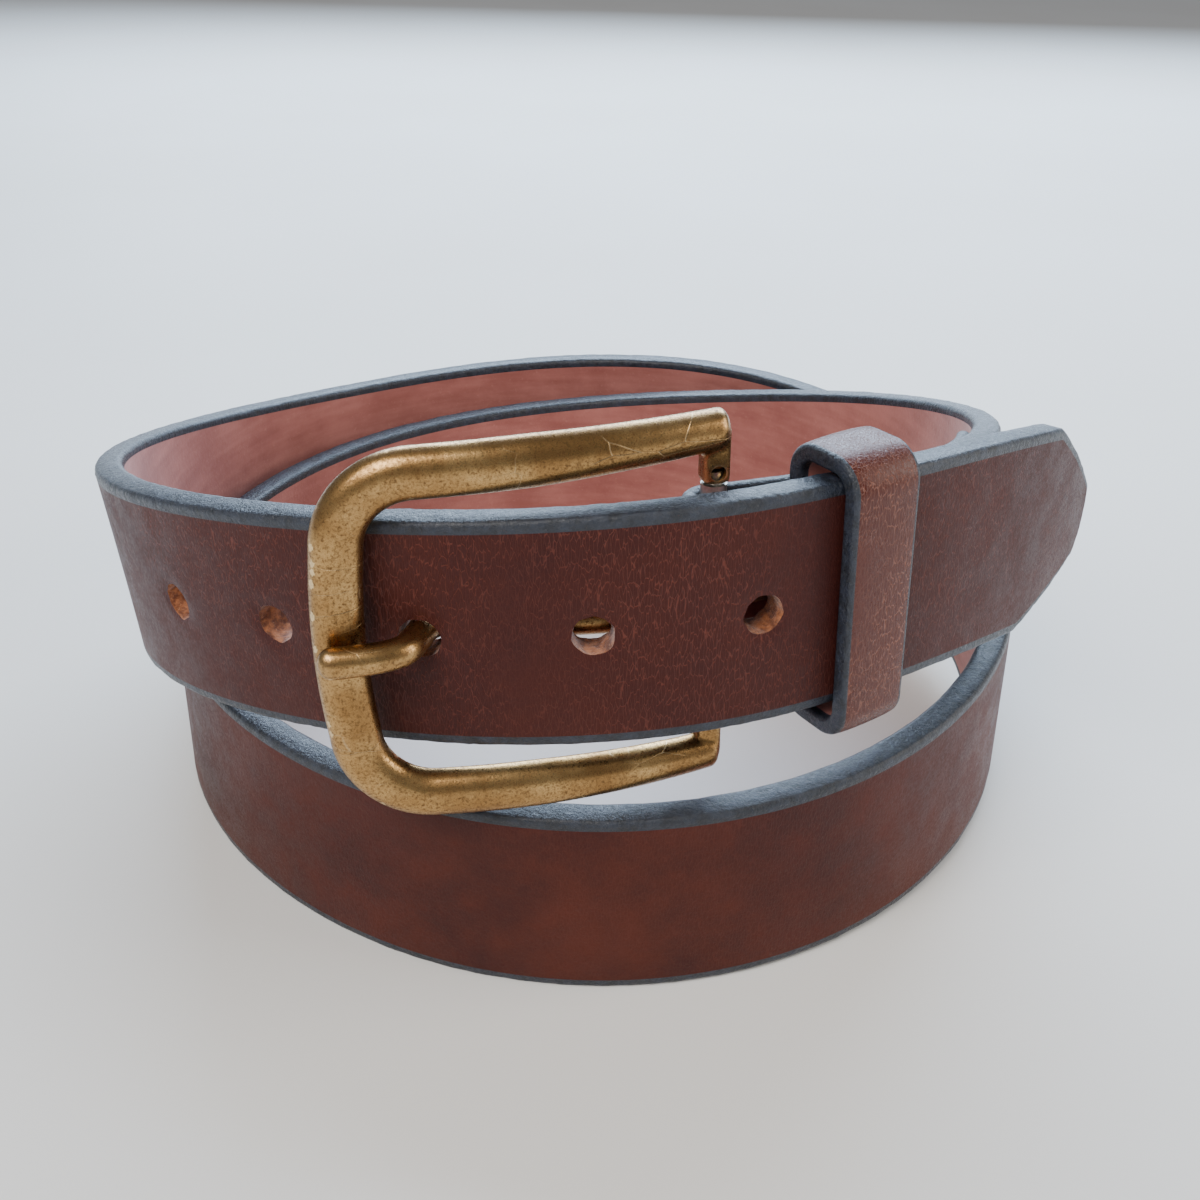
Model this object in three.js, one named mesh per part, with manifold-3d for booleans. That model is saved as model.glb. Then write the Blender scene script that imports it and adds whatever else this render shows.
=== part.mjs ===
// A man's leather belt, buckled and coiled into two turns, standing on its edge.
// Millimetres, +Z up, the buckle faces -Y. The origin is under the middle of the coil.
import * as THREE from 'three';
import { mergeVertices } from 'three/addons/utils/BufferGeometryUtils.js';
import Module from 'manifold-3d';

const wasm = await Module();
wasm.setup();

// ---- driving dimensions ----

const STRAP_WIDTH = 38;
const STRAP_THICKNESS = 5;
const STRAP_EDGE_ROUND = 0.9;
const GAP = 0.3; // between pieces that touch

// The coil seen from above runs anticlockwise from the heel bar. Its line is a smooth
// curve through one station every 60 degrees: radius, height of the strap's middle,
// and how far its top leans outwards.
const STATION_STEP = 60;
const FIRST_STATION = -180;
const COIL_RADIUS = [56, 57, 71.5, 92.5, 97.5, 86.5, 67, 61, 78.5, 101, 112, 98, 74.5, 67.5, 78.5, 93, 210];
const COIL_HEIGHT = [50, 61, 76.6, 60.2, 24.5, 18.7, 18.7, 18.7, 18.7, 22, 37, 22.5, 48, 69, 75.6, 70, -20];
const COIL_LEAN = [-4, -4, -4.3, -1, 0, -3, -3, 2, 3, -4, -3, 2, 5, 4, -4.3, 0, -5];
const MIDDLE = new THREE.Vector2(14.26, 12.14); // of the whole, seen from above
const HEEL_ANGLE = -61.9;
const TIP_ANGLE = 719;
const STRAP_STEP = 6; // length of one facet

const TIP_TAPER = 31;
const TIP_NOSE = 4;
const TIP_NOSE_HALF_WIDTH = 8;

const HOLE_COUNT = 5;
const HOLE_PITCH = 25;
const HOLE_RADIUS = 3.1;
const FIRST_HOLE_ANGLE = 660.1; // the one nearest the tip

// The buckle end is pared thin from its rough side and cut a little narrower. Lengths along
// it are from the heel bar.
const PARED_THICKNESS = 2.4;
const PARED_HALF_WIDTH = 17.2;
const PARED_LENGTH = 30;
const FULL_LENGTH = 46; // back to the strap's own section
const BAR_RADIUS = 2;
const BAR_END_RADIUS = 1.3;
const LOOP_SPACE = 2 * (BAR_RADIUS + 0.35); // between the fold's two layers
const BEND_RADIUS = (LOOP_SPACE + PARED_THICKNESS) / 2; // to the leather's middle
const LOOP_LENGTH = 31; // from here the two layers close up
const CLOSED_LENGTH = 42;
const FOLD_LENGTH = 76;
const SLOT_WIDTH = 6.6;
const SLOT_REACH = 11;

const SCREW_DISTANCES = [50.5, 67];
const POST_RADIUS = 2.4;
const POST_HEAD_RADIUS = 5;
const POST_HEAD = 1;
const SCREW_RADIUS = 1.5;
const SCREW_HEAD_RADIUS = 4.5;
const SCREW_HEAD = 1.4;

const KEEPER_ANGLE = 672.6;
const KEEPER_TILT = 4; // degrees, its lower end towards the tip
const KEEPER_WIDTH = 12.5;
const KEEPER_THICKNESS = 2.9;
// The space inside the keeper, measured from the middle of the tip's layer. It holds that
// layer and the fold's front layer, and the keeper's back wall lies inside the fold.
const KEEPER_ROOM = { outer: 3.1, inner: 6.6, top: 20.2, bottom: 21.8 };
const KEEPER_CORNER = 2.6;
const STAPLE_SPAN = 8;
const STAPLE_WIRE = 0.45; // half its thickness

const FAR_BAR = new THREE.Vector3(-20.6, -76.1, 68.2); // a point the frame's far bar lies behind
const FRAME_LENGTH = 55.6; // heel bar to the middle of the far bar
const FRAME_HALF_HEIGHT = 27.5; // to the middle of each arm at the heel bar
const FRAME_FAR_HALF_HEIGHT = 26.2;
const FRAME_CORNER = 11.5;
const FRAME_BOW = 3.2; // how far the arms arch forwards
const FAR_BAR_BOW = 0.9;
const FRAME_HALF_WIDTH = 3.9;
const FRAME_END_HALF_WIDTH = 3.1;
const FRAME_FRONT = 3.2;
const FRAME_BACK = 1.9;
const ARM_END = -2.1; // how far the arms run past the heel bar
const LUG_INNER = 19.3;
const LUG_HALF = 2.1;
const LUG_HOLE_RADIUS = 1.2;
const LUG_BORE_DEPTH = 2;
const BUCKLE_PLAY = 1.5; // degrees the frame can rock outwards, and the prong again on the frame

const PRONG_RADIUS = 2.3;
const PRONG_EYE_INNER = 2.35;
const PRONG_EYE_OUTER = 4.3;
const PRONG_EYE_WIDTH = 5;
// The prong's middle line, as distance from the heel bar and height towards the front:
// along the back of the strap, up through the third hole, and flat over the far bar.
const PRONG_LINE = [[3, 1.2], [12, 2.6], [22, 1.6], [32, -1.4], [39.5, -3.9], [43.2, -2.6],
  [45.4, 0.8], [47.6, 4.1], [51, 5.3], [55.5, 5.45], [58.6, 5.3]];

const LEATHER = { color: 0x45211c, roughness: 0.55, metalness: 0 };
const KEEPER_LEATHER = { color: 0x55261f, roughness: 0.4, metalness: 0 };
const ANTIQUE_BRASS = { color: 0x8a6a3c, roughness: 0.38, metalness: 1 };
const STEEL = { color: 0x8f8b84, roughness: 0.35, metalness: 1 };

// ---- solids ----

function toSolid(geometry) {
  const bare = geometry.clone();
  bare.deleteAttribute('normal');
  bare.deleteAttribute('uv');
  const merged = mergeVertices(bare, 1e-4);
  return new wasm.Manifold(new wasm.Mesh({
    numProp: 3,
    vertProperties: new Float32Array(merged.attributes.position.array),
    triVerts: new Uint32Array(merged.index.array),
  }));
}

function toGeometry(solid) {
  const mesh = solid.getMesh();
  const geometry = new THREE.BufferGeometry();
  geometry.setAttribute('position', new THREE.BufferAttribute(mesh.vertProperties, 3));
  geometry.setIndex(new THREE.BufferAttribute(mesh.triVerts, 1));
  return geometry;
}

function namedMesh(name, geometry, look) {
  const mesh = new THREE.Mesh(geometry, new THREE.MeshStandardMaterial(look));
  mesh.name = name;
  return mesh;
}

// One closed body through a row of rings. Each ring holds the same number of points,
// anticlockwise as seen from ahead of it.
function loft(rings) {
  const size = rings[0].length;
  const positions = rings.flat().flatMap((p) => [p.x, p.y, p.z]);
  const indices = [];
  for (let i = 0; i + 1 < rings.length; i++) {
    for (let j = 0; j < size; j++) {
      const a = i * size + j;
      const b = i * size + (j + 1) % size;
      indices.push(a, b, b + size, a, b + size, a + size);
    }
  }
  const last = (rings.length - 1) * size;
  for (let j = 1; j + 1 < size; j++) {
    indices.push(0, j + 1, j, last, last + j, last + j + 1);
  }
  const geometry = new THREE.BufferGeometry();
  geometry.setAttribute('position', new THREE.Float32BufferAttribute(positions, 3));
  geometry.setIndex(indices);
  return geometry;
}

// A cylinder along the third axis of a frame, from one height to another.
function rodAlong(frame, radius, from, to, sides = 28) {
  const rod = new THREE.CylinderGeometry(radius, radius, to - from, sides);
  rod.rotateX(Math.PI / 2);
  rod.translate(0, 0, (from + to) / 2);
  return rod.applyMatrix4(frame);
}

// ---- the strap's line ----

function station(values, angle) {
  const place = (angle - FIRST_STATION) / STATION_STEP;
  const i = Math.floor(place);
  const t = place - i;
  const s = 1 - t;
  return (s ** 3 * values[i - 1] + (3 * t ** 3 - 6 * t ** 2 + 4) * values[i]
    + (3 * s ** 3 - 6 * s ** 2 + 4) * values[i + 1] + t ** 3 * values[i + 2]) / 6;
}

function coilPoint(angle) {
  const turn = THREE.MathUtils.degToRad(angle);
  const radius = station(COIL_RADIUS, angle);
  return new THREE.Vector3(radius * Math.cos(turn), radius * Math.sin(turn), station(COIL_HEIGHT, angle));
}

// The strap's cross-section at an angle: across runs up its width, out is its smooth face's normal.
function coilSection(angle) {
  const centre = coilPoint(angle);
  const along = coilPoint(angle + 0.5).sub(coilPoint(angle - 0.5)).normalize();
  const level = new THREE.Vector3(along.y, -along.x, 0).normalize();
  const up = new THREE.Vector3().crossVectors(level, along);
  const lean = THREE.MathUtils.degToRad(station(COIL_LEAN, angle));
  const across = up.clone().multiplyScalar(Math.cos(lean)).addScaledVector(level, Math.sin(lean));
  const out = level.multiplyScalar(Math.cos(lean)).addScaledVector(up, -Math.sin(lean));
  return { centre, along, across, out, halfWidth: STRAP_WIDTH / 2, thickness: STRAP_THICKNESS };
}

// The angle reached after a length of strap.
function angleAfter(start, length) {
  const step = Math.sign(length) * 0.25;
  let angle = start;
  let left = Math.abs(length);
  while (left > 0) {
    left -= coilPoint(angle).distanceTo(coilPoint(angle + step));
    angle += step;
  }
  return angle;
}

function offsetSection(section, distance) {
  return { ...section, centre: section.centre.clone().addScaledVector(section.out, distance) };
}

// Axes of a section as a matrix: X along the strap, Y across it, Z out of its face.
function sectionMatrix(section) {
  const { along, across, out, centre } = section;
  const side = new THREE.Vector3().crossVectors(across, out);
  return new THREE.Matrix4().makeBasis(side, across, out).setPosition(centre);
}

// The strap's section at a length from the heel bar, with its smooth face on the coil's line.
function heelEndSection(length) {
  const section = coilSection(angleAfter(HEEL_ANGLE, length));
  const full = THREE.MathUtils.smoothstep(length, PARED_LENGTH, FULL_LENGTH);
  const thickness = THREE.MathUtils.lerp(PARED_THICKNESS, STRAP_THICKNESS, full);
  const halfWidth = THREE.MathUtils.lerp(PARED_HALF_WIDTH, STRAP_WIDTH / 2, full);
  return { ...offsetSection(section, (STRAP_THICKNESS - thickness) / 2), thickness, halfWidth };
}

const heelSection = heelEndSection(0);
const heelAxis = offsetSection(heelSection, -BEND_RADIUS);

// The buckle turns on the heel bar, and this sets where its far bar points.
function makeBuckleMatrix() {
  const down = heelAxis.across.clone().negate();
  const away = FAR_BAR.clone().sub(heelAxis.centre);
  away.addScaledVector(down, -away.dot(down)).normalize();
  const front = new THREE.Vector3().crossVectors(away, down);
  return new THREE.Matrix4().makeBasis(away, down, front).setPosition(heelAxis.centre);
}

const buckleMatrix = makeBuckleMatrix();

// The fold's back layer, which faces inwards: apart from the front layer where the keeper
// goes through, and closed onto it beyond.
function foldSection(length) {
  const front = heelEndSection(length);
  const space = THREE.MathUtils.lerp(LOOP_SPACE, GAP,
    THREE.MathUtils.smoothstep(length, LOOP_LENGTH, CLOSED_LENGTH));
  const back = offsetSection(front, -(front.thickness + PARED_THICKNESS) / 2 - space);
  return { ...back, out: back.out.clone().negate(), thickness: PARED_THICKNESS, halfWidth: PARED_HALF_WIDTH };
}

function foldSections() {
  const steps = Math.round(FOLD_LENGTH / 4);
  const sections = [];
  for (let i = steps; i >= 1; i--) {
    sections.push(foldSection(FOLD_LENGTH * i / steps));
  }
  return sections;
}

function bendSections() {
  const sections = [];
  const steps = 10;
  for (let i = 0; i <= steps; i++) {
    const bend = Math.PI * (1 - i / steps);
    const out = heelSection.out.clone().multiplyScalar(Math.cos(bend))
      .addScaledVector(heelSection.along, -Math.sin(bend));
    const centre = heelAxis.centre.clone().addScaledVector(out, BEND_RADIUS);
    sections.push({ ...heelSection, centre, out });
  }
  return sections;
}

// Half the strap's width near its pointed end: straight bevels and a blunt round nose.
function tipHalfWidth(fromEnd) {
  if (fromEnd < TIP_NOSE) {
    const nose = Math.sqrt(1 - (1 - fromEnd / TIP_NOSE) ** 2);
    return TIP_NOSE_HALF_WIDTH * Math.max(nose, 0.15);
  }
  const bevel = (fromEnd - TIP_NOSE) / (TIP_TAPER - TIP_NOSE);
  return THREE.MathUtils.lerp(TIP_NOSE_HALF_WIDTH, STRAP_WIDTH / 2, bevel);
}

function runSections() {
  const sections = [];
  const taperAngle = angleAfter(TIP_ANGLE, -TIP_TAPER);
  let length = STRAP_STEP / 2;
  let angle = angleAfter(HEEL_ANGLE, length);
  while (angle < taperAngle) {
    sections.push(length < FULL_LENGTH ? heelEndSection(length) : coilSection(angle));
    angle = angleAfter(angle, STRAP_STEP);
    length += STRAP_STEP;
  }
  const taperSteps = 12;
  for (let i = 0; i <= taperSteps; i++) {
    const fromEnd = TIP_TAPER * (1 - Math.sin(i / taperSteps * Math.PI / 2));
    const section = coilSection(angleAfter(TIP_ANGLE, -fromEnd));
    sections.push({ ...section, halfWidth: tipHalfWidth(fromEnd) });
  }
  return sections;
}

// An oblong with its corners taken off, cut flat where it would dip below the ground.
function strapRing(section) {
  const { centre, across, out, halfWidth, thickness } = section;
  const w = halfWidth;
  const t = thickness / 2;
  const c = Math.min(STRAP_EDGE_ROUND, w / 2);
  const outline = [[w - c, t], [-w + c, t], [-w, t - c], [-w, c - t], [-w + c, -t], [w - c, -t],
    [w, c - t], [w, t - c]];
  return outline.map(([a, b]) => {
    const point = centre.clone().addScaledVector(across, a).addScaledVector(out, b);
    point.z = Math.max(point.z, 0);
    return point;
  });
}

// ---- the strap ----

// The fold at a screw: the coil's section there, and how deep the fold's back surface lies.
const screwPlaces = SCREW_DISTANCES.map((length) => ({
  frame: sectionMatrix(coilSection(angleAfter(HEEL_ANGLE, length))),
  back: STRAP_THICKNESS / 2 - heelEndSection(length).thickness - GAP - PARED_THICKNESS,
}));

function holeCutters() {
  const cutters = [];
  for (let i = 0; i < HOLE_COUNT; i++) {
    const section = coilSection(angleAfter(FIRST_HOLE_ANGLE, -i * HOLE_PITCH));
    cutters.push(rodAlong(sectionMatrix(section), HOLE_RADIUS, -0.53 * STRAP_THICKNESS, STRAP_THICKNESS));
  }
  return cutters;
}

function slotCutter() {
  const half = SLOT_WIDTH / 2;
  const outline = new THREE.Shape();
  outline.moveTo(-9, -half);
  outline.lineTo(SLOT_REACH, -half);
  outline.absarc(SLOT_REACH, 0, half, -Math.PI / 2, Math.PI / 2);
  outline.lineTo(-9, half);
  const depth = 2 * (BEND_RADIUS + PARED_THICKNESS / 2 + 0.3);
  const cutter = new THREE.ExtrudeGeometry(outline, { depth, bevelEnabled: false, curveSegments: 8 });
  cutter.translate(0, 0, -depth / 2);
  return cutter.applyMatrix4(sectionMatrix(heelAxis));
}

function screwCutters({ frame, back }) {
  return [
    rodAlong(frame, POST_RADIUS + GAP, back - 1, STRAP_THICKNESS / 2 + 0.3),
    rodAlong(frame, POST_HEAD_RADIUS + GAP, STRAP_THICKNESS / 2 - POST_HEAD - GAP, STRAP_THICKNESS / 2 + 0.3),
  ];
}

// The prong dents the leather and pulls its hole oval, over the play it has.
function prongCutters() {
  const cutters = [];
  for (let play = 0; play <= 2 * BUCKLE_PLAY; play += 1) {
    const swing = new THREE.Matrix4().makeRotationY(-THREE.MathUtils.degToRad(play));
    cutters.push(prongRod(PRONG_RADIUS + GAP).applyMatrix4(swing).applyMatrix4(buckleMatrix));
  }
  return cutters;
}

function makeStrap() {
  const rings = [...foldSections(), ...bendSections(), ...runSections()].map(strapRing);
  const cutters = [...holeCutters(), slotCutter(), ...screwPlaces.flatMap(screwCutters), ...prongCutters()];
  let solid = toSolid(loft(rings));
  for (const cutter of cutters) {
    solid = solid.subtract(toSolid(cutter));
  }
  return namedMesh('strap', toGeometry(solid), LEATHER);
}

// ---- the fold's screws ----

function makePost(place, index) {
  const front = STRAP_THICKNESS / 2;
  const back = place.back + GAP;
  const bore = SCREW_RADIUS + GAP;
  const profile = [[0, front], [POST_HEAD_RADIUS - 0.4, front], [POST_HEAD_RADIUS, front - 0.4],
    [POST_HEAD_RADIUS, front - POST_HEAD], [POST_RADIUS, front - POST_HEAD], [POST_RADIUS, back],
    [bore, back], [bore, front - POST_HEAD - 1], [0, front - POST_HEAD - 1]];
  const post = turned(profile).applyMatrix4(place.frame);
  return namedMesh(`screw_post_${index}`, post, STEEL);
}

function makeScrew(place, index) {
  const back = place.back - 2 * GAP;
  const end = STRAP_THICKNESS / 2 - POST_HEAD - 2;
  const profile = [[0, end], [SCREW_RADIUS, end], [SCREW_RADIUS, back], [SCREW_HEAD_RADIUS, back],
    [SCREW_HEAD_RADIUS, back - SCREW_HEAD + 0.5], [SCREW_HEAD_RADIUS - 0.7, back - SCREW_HEAD],
    [0, back - SCREW_HEAD]];
  const driverSlot = new THREE.BoxGeometry(2 * SCREW_HEAD_RADIUS + 2, 1.1, 1.4);
  driverSlot.translate(0, 0, back - SCREW_HEAD);
  const solid = toSolid(turned(profile)).subtract(toSolid(driverSlot));
  const screw = toGeometry(solid).applyMatrix4(place.frame);
  return namedMesh(`screw_${index}`, screw, STEEL);
}

// A lathed body about Z, from a profile of radius and height given from its top down.
function turned(profile) {
  const points = profile.map(([radius, height]) => new THREE.Vector2(radius, -height));
  return new THREE.LatheGeometry(points, 28).rotateX(-Math.PI / 2);
}

// ---- the keeper ----

function roundedOblong(low, high, corner) {
  const outline = new THREE.Shape();
  outline.moveTo(low.x + corner, low.y);
  outline.absarc(high.x - corner, low.y + corner, corner, -Math.PI / 2, 0);
  outline.absarc(high.x - corner, high.y - corner, corner, 0, Math.PI / 2);
  outline.absarc(low.x + corner, high.y - corner, corner, Math.PI / 2, Math.PI);
  outline.absarc(low.x + corner, low.y + corner, corner, Math.PI, 1.5 * Math.PI);
  return outline;
}

// In the keeper's outline X points out of the strap and Y up, and it is drawn out along the strap.
const keeperMatrix = sectionMatrix(coilSection(KEEPER_ANGLE))
  .multiply(new THREE.Matrix4().makeRotationZ(THREE.MathUtils.degToRad(KEEPER_TILT)))
  .multiply(new THREE.Matrix4().makeBasis(
    new THREE.Vector3(0, 0, 1), new THREE.Vector3(0, 1, 0), new THREE.Vector3(-1, 0, 0)));
const keeperBack = -KEEPER_ROOM.inner - KEEPER_THICKNESS;

// The staple that closes the band, sunk into its back: grown by a margin, it is its own hole.
function stapleSolid(margin) {
  const half = STAPLE_WIRE + margin;
  const crown = new THREE.BoxGeometry(2 * half, STAPLE_SPAN + 2 * half, 2 * half);
  crown.translate(keeperBack + STAPLE_WIRE, 0, 0);
  let solid = toSolid(crown);
  for (const sign of [-1, 1]) {
    const leg = new THREE.BoxGeometry(KEEPER_THICKNESS - STAPLE_WIRE + margin, 2 * half, 2 * half);
    leg.translate(keeperBack + (KEEPER_THICKNESS + STAPLE_WIRE + margin) / 2, sign * STAPLE_SPAN / 2, 0);
    solid = solid.add(toSolid(leg));
  }
  return solid;
}

function makeKeeper() {
  const { outer, inner, top, bottom } = KEEPER_ROOM;
  const low = new THREE.Vector2(-inner, -bottom);
  const high = new THREE.Vector2(outer, top);
  const thick = new THREE.Vector2(KEEPER_THICKNESS, KEEPER_THICKNESS);
  const outline = roundedOblong(low.clone().sub(thick), high.clone().add(thick), KEEPER_CORNER + thick.x);
  outline.holes.push(roundedOblong(low, high, KEEPER_CORNER));
  const band = new THREE.ExtrudeGeometry(outline, {
    depth: KEEPER_WIDTH, bevelEnabled: false, curveSegments: 6,
  });
  band.translate(0, 0, -KEEPER_WIDTH / 2);
  const solid = toSolid(band).subtract(stapleSolid(GAP));
  return namedMesh('keeper_loop', toGeometry(solid).applyMatrix4(keeperMatrix), KEEPER_LEATHER);
}

function makeStaple() {
  return namedMesh('keeper_staple', toGeometry(stapleSolid(0)).applyMatrix4(keeperMatrix), STEEL);
}

// ---- the buckle, in its own frame: X from the heel bar to the far bar, Y down, Z to the front ----

function frameLine() {
  const r = FRAME_CORNER;
  const h = FRAME_FAR_HALF_HEIGHT;
  const line = new THREE.Path();
  line.moveTo(ARM_END, -FRAME_HALF_HEIGHT);
  line.lineTo(FRAME_LENGTH - r, -h);
  line.absarc(FRAME_LENGTH - r, r - h, r, -Math.PI / 2, 0);
  line.quadraticCurveTo(FRAME_LENGTH + 2 * FAR_BAR_BOW, 0, FRAME_LENGTH, h - r);
  line.absarc(FRAME_LENGTH - r, h - r, r, 0, Math.PI / 2);
  line.lineTo(ARM_END, FRAME_HALF_HEIGHT);
  return line;
}

function frameSectionRing(point, side, halfWidth, size) {
  const sides = 14;
  const bow = 4 * FRAME_BOW * (point.x / FRAME_LENGTH) * (1 - point.x / FRAME_LENGTH);
  const ring = [];
  for (let i = 0; i < sides; i++) {
    const turn = 2 * Math.PI * i / sides;
    const reach = halfWidth * size * Math.cos(turn);
    const depth = (Math.sin(turn) > 0 ? FRAME_FRONT : FRAME_BACK) * size * Math.sin(turn);
    ring.push(new THREE.Vector3(point.x + side.x * reach, point.y + side.y * reach, bow + depth));
  }
  return ring;
}

function frameRail() {
  const line = frameLine();
  const steps = 56;
  const points = line.getSpacedPoints(steps);
  const rings = points.map((point, i) => {
    const ahead = points[Math.min(i + 1, steps)].clone().sub(points[Math.max(i - 1, 0)]).normalize();
    const side = new THREE.Vector2(-ahead.y, ahead.x);
    const alongArm = THREE.MathUtils.clamp(point.x / (FRAME_LENGTH / 2), 0, 1);
    const halfWidth = THREE.MathUtils.lerp(FRAME_END_HALF_WIDTH, FRAME_HALF_WIDTH, alongArm);
    const fromEnd = Math.min(i, steps - i);
    const size = [0.6, 0.88][fromEnd] ?? 1;
    return frameSectionRing(point, side, halfWidth, size);
  });
  return loft(rings);
}

function lug(sign) {
  const height = FRAME_HALF_HEIGHT - LUG_INNER;
  const block = new THREE.BoxGeometry(2 * LUG_HALF, height, 2 * LUG_HALF);
  block.translate(0, sign * (LUG_INNER + height / 2), 0);
  return block;
}

function makeFrame() {
  let solid = toSolid(frameRail());
  for (const sign of [-1, 1]) {
    const bore = new THREE.CylinderGeometry(BAR_END_RADIUS + GAP, BAR_END_RADIUS + GAP, 2 * LUG_BORE_DEPTH, 24);
    bore.translate(0, sign * LUG_INNER, 0);
    const frontHole = new THREE.CylinderGeometry(LUG_HOLE_RADIUS, LUG_HOLE_RADIUS, 3, 20);
    frontHole.rotateX(Math.PI / 2).translate(0, sign * (LUG_INNER + 1.8), 1.9);
    solid = solid.add(toSolid(lug(sign))).subtract(toSolid(bore)).subtract(toSolid(frontHole));
  }
  return namedMesh('buckle_frame', toGeometry(solid).applyMatrix4(buckleMatrix), ANTIQUE_BRASS);
}

function makeHeelBar() {
  const shoulder = LUG_INNER - GAP;
  const end = LUG_INNER + LUG_BORE_DEPTH - GAP;
  const bar = new THREE.LatheGeometry([
    new THREE.Vector2(0, -end), new THREE.Vector2(BAR_END_RADIUS, -end),
    new THREE.Vector2(BAR_END_RADIUS, -shoulder), new THREE.Vector2(BAR_RADIUS, -shoulder),
    new THREE.Vector2(BAR_RADIUS, shoulder), new THREE.Vector2(BAR_END_RADIUS, shoulder),
    new THREE.Vector2(BAR_END_RADIUS, end), new THREE.Vector2(0, end)], 24);
  return namedMesh('heel_bar', bar.applyMatrix4(buckleMatrix), STEEL);
}

// The prong's shank and tip, without its eye.
function prongRod(radius) {
  const points = PRONG_LINE.map(([x, z]) => new THREE.Vector3(x, 0, z));
  const line = new THREE.CatmullRomCurve3(points, false, 'centripetal');
  const steps = 36;
  const sides = 12;
  const side = new THREE.Vector3(0, 1, 0);
  const rings = [];
  for (let i = 0; i <= steps; i++) {
    const centre = line.getPointAt(i / steps);
    const front = new THREE.Vector3().crossVectors(line.getTangentAt(i / steps), side);
    const reach = radius * ([0.55, 0.85, 0.97][steps - i] ?? 1);
    const ring = [];
    for (let j = 0; j < sides; j++) {
      const turn = 2 * Math.PI * j / sides;
      ring.push(centre.clone().addScaledVector(side, reach * Math.cos(turn))
        .addScaledVector(front, reach * Math.sin(turn)));
    }
    rings.push(ring);
  }
  return loft(rings);
}

function makeProng() {
  const half = PRONG_EYE_WIDTH / 2;
  const profile = [[PRONG_EYE_INNER, -half], [PRONG_EYE_OUTER - 0.5, -half], [PRONG_EYE_OUTER, 0.5 - half],
    [PRONG_EYE_OUTER, half - 0.5], [PRONG_EYE_OUTER - 0.5, half], [PRONG_EYE_INNER, half],
    [PRONG_EYE_INNER, -half]];
  const eye = new THREE.LatheGeometry(profile.map(([radius, y]) => new THREE.Vector2(radius, y)), 28);
  const bore = new THREE.CylinderGeometry(PRONG_EYE_INNER + 0.4, PRONG_EYE_INNER + 0.4, 2 * PRONG_EYE_WIDTH, 28);
  const solid = toSolid(prongRod(PRONG_RADIUS)).subtract(toSolid(bore)).add(toSolid(eye));
  return namedMesh('prong', toGeometry(solid).applyMatrix4(buckleMatrix), ANTIQUE_BRASS);
}

// ---- the belt ----

const belt = new THREE.Group();
belt.name = 'leather_belt';
belt.add(makeStrap(), makeKeeper(), makeStaple(), makeFrame(), makeHeelBar(), makeProng());
screwPlaces.forEach((place, i) => belt.add(makePost(place, i + 1), makeScrew(place, i + 1)));
for (const mesh of belt.children) {
  mesh.geometry.translate(-MIDDLE.x, -MIDDLE.y, 0);
}

export default belt;
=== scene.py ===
import math

import bmesh
import bpy
import numpy as np
from mathutils import Matrix, Vector, noise


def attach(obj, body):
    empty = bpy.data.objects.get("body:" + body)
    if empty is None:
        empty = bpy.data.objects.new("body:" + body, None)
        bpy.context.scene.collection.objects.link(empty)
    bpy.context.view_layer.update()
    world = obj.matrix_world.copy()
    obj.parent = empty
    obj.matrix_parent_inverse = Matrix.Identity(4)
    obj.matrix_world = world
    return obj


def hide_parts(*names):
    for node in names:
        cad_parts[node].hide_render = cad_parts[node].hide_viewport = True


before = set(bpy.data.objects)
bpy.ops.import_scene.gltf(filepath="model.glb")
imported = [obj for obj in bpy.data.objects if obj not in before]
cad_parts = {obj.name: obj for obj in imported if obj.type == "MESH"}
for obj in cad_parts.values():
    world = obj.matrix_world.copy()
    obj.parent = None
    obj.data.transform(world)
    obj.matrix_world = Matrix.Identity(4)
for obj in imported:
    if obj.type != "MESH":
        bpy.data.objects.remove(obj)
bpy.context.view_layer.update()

MM = 0.001

# ---- the camera ----

CAMERA_PLACE = Vector((2.11, -250.4, 173.5)) * MM
CAMERA_PITCH = math.radians(30.25)
CAMERA_ROLL = math.radians(0.92)
CAMERA_LENS = 39.8


def make_camera():
    data = bpy.data.cameras.new("camera")
    data.lens = CAMERA_LENS
    data.sensor_width = 36
    data.clip_start = 0.01
    camera = bpy.data.objects.new("camera", data)
    bpy.context.scene.collection.objects.link(camera)
    turn = Matrix.Rotation(math.pi / 2 - CAMERA_PITCH, 4, "X") @ Matrix.Rotation(CAMERA_ROLL, 4, "Z")
    camera.matrix_world = Matrix.Translation(CAMERA_PLACE) @ turn
    bpy.context.scene.camera = camera


make_camera()

# ---- the strap's line, in millimetres and degrees, as in the CAD ----

MIDDLE = np.array((14.26, 12.14, 0))
STATION_STEP = 60
FIRST_STATION = -180
COIL_RADIUS = (56, 57, 71.5, 92.5, 97.5, 86.5, 67, 61, 78.5, 101, 112, 98, 74.5, 67.5, 78.5, 93, 210)
COIL_HEIGHT = (50, 61, 76.6, 60.2, 24.5, 18.7, 18.7, 18.7, 18.7, 22, 37, 22.5, 48, 69, 75.6, 70, -20)
COIL_LEAN = (-4, -4, -4.3, -1, 0, -3, -3, 2, 3, -4, -3, 2, 5, 4, -4.3, 0, -5)
HEEL_ANGLE = -61.9
TIP_ANGLE = 719
FIRST_HOLE_ANGLE = 660.1
HOLE_PITCH = 25
HOLE_COUNT = 5
HOLE_RADIUS = 3.1

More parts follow.
